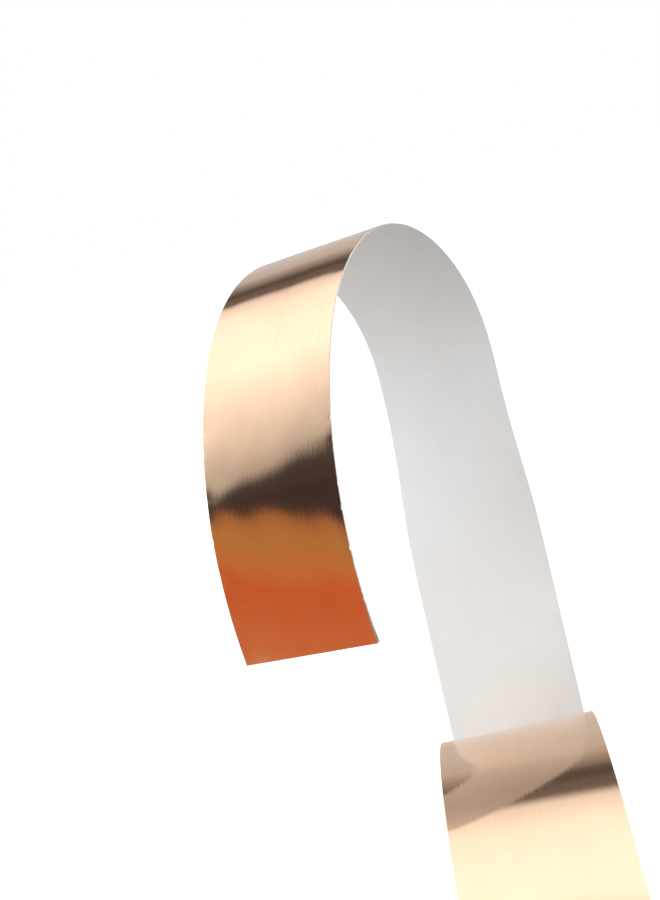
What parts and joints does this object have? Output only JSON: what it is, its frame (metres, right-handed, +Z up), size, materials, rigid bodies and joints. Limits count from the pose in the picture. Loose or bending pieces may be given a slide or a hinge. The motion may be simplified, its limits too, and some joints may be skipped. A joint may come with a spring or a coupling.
{
  "type": "copper foil tape roll",
  "caption": "Roll of adhesive copper foil tape on a paperboard core, with a free length that lifts off the roll, arches over and ends in a peelable paper liner tab.",
  "frame": {"origin": "centre of the core's bore, half way along it", "axes": "+Y along the core's axis, +Z up; the free length lifts off on the +X side and arches over the roll towards -X"},
  "size_m": [0.1287, 0.0533, 0.1735],
  "materials": {
    "copper_foil": "satin",
    "wound_tape": "satin",
    "release_liner": "satin",
    "adhesive": "gloss",
    "core_board": "matte",
    "start_tab": "matte"
  },
  "bodies": {
    "roll": {"core_inner_ply": "core_board", "core_middle_ply": "core_board", "core_outer_ply": "core_board", "core_start_tab": "start_tab", "wound_tape": "wound_tape", "outer_turn_liner": "release_liner", "outer_turn_adhesive": "adhesive", "outer_turn_foil": "copper_foil"},
    "rising_length": {"rising_liner": "release_liner", "rising_adhesive": "adhesive", "rising_foil": "copper_foil"},
    "free_length": {"free_liner": "release_liner", "free_adhesive": "adhesive", "free_foil": "copper_foil"},
    "liner_end": {"liner_tab": "release_liner"}
  },
  "joints": [
    {"name": "unwind", "type": "hinge", "parent": "roll", "child": "rising_length", "pos_m": [0, 0, 0], "axis": [0, 1, 0], "continuous": true},
    {"name": "arch_bend", "type": "hinge", "parent": "rising_length", "child": "free_length", "pos_m": [0.07142, 0.00428, 0.11473], "axis": [-0.4384, -0.8911, 0.1175], "range_deg": [-30, 20]},
    {"name": "liner_peel", "type": "hinge", "parent": "free_length", "child": "liner_end", "pos_m": [0.0118, 0.02921, 0.08128], "axis": [-0.4384, -0.8911, 0.1175], "range_deg": [0, 140]}
  ]
}
